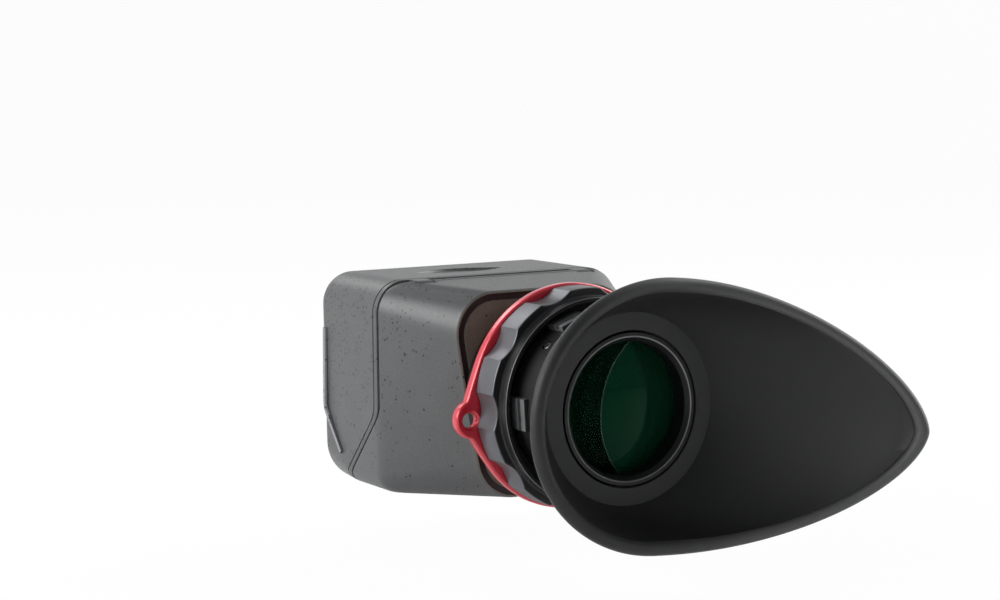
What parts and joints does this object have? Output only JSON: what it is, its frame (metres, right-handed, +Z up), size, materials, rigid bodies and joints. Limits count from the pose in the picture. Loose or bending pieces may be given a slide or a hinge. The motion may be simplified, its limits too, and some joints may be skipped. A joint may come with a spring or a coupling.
{
  "type": "lcd viewfinder loupe",
  "caption": "Flip-up viewfinder loupe for a camera's rear screen: hinged light hood, focus ring, sliding magnifier and teardrop eyecup.",
  "frame": {"origin": "on the optical axis, in the plane where the light seal meets the camera's screen", "axes": "+X to the right as the eye sees it, +Y along the optical axis from the eye to the screen, +Z up when the camera is level"},
  "size_m": [0.1039, 0.1476, 0.0708],
  "materials": {
    "shell_plastic": "fine textured dark grey moulding",
    "seal_foam": "closed-cell foam, black",
    "steel": "plain turned steel",
    "magnet": "nickel plated",
    "tube_black": "black anodised, satin",
    "red_anodised": "red anodised, bright satin",
    "ring_grey": "dark grey satin",
    "barrel_black": "black, satin",
    "lens_glass": "coated, green reflection",
    "cup_rubber": "soft, matt black"
  },
  "bodies": {
    "frame": {"front_frame": "shell_plastic", "light_seal": "seal_foam", "hinge_pin": "steel", "frame_magnet_left": "magnet", "frame_magnet_right": "magnet"},
    "hood": {"hood": "shell_plastic", "hood_magnet_left": "magnet", "hood_magnet_right": "magnet", "guide_tube": "tube_black", "tube_screw_1": "steel", "tube_screw_2": "steel", "tube_screw_3": "steel", "tube_screw_4": "steel", "neck_sleeve": "tube_black", "guide_screw_1": "steel", "guide_screw_2": "steel", "strap_ring": "red_anodised", "retaining_ring": "tube_black"},
    "focus": {"focus_ring": "ring_grey", "drive_pin_1": "steel", "drive_pin_2": "steel"},
    "lens": {"lens_barrel": "barrel_black", "barrel_screw_1": "steel", "barrel_screw_2": "steel", "barrel_screw_3": "steel", "field_lens": "lens_glass", "spacer_ring": "tube_black", "eye_lens": "lens_glass", "lens_retainer": "tube_black"},
    "cup": {"eyecup_ring": "tube_black", "eyecup": "cup_rubber"}
  },
  "joints": [
    {"name": "flip_up", "type": "hinge", "parent": "frame", "child": "hood", "pos_m": [0, -0.04025, 0.0268], "axis": [-1, 0, 0], "range_deg": [0, 90]},
    {"name": "focus_turn", "type": "hinge", "parent": "hood", "child": "focus", "pos_m": [0, -0.08, 0], "axis": [0, -1, 0], "range_deg": [0, 120]},
    {"name": "lens_slide", "type": "slide", "parent": "hood", "child": "lens", "axis": [0, -1, 0], "range_m": [0, 0.006]},
    {"name": "eyecup_turn", "type": "hinge", "parent": "lens", "child": "cup", "pos_m": [0, -0.1, 0], "axis": [0, 1, 0], "continuous": true}
  ],
  "couplings": [
    {"joint": "lens_slide", "follows": "focus_turn", "m_per_rad": 0.002864}
  ]
}
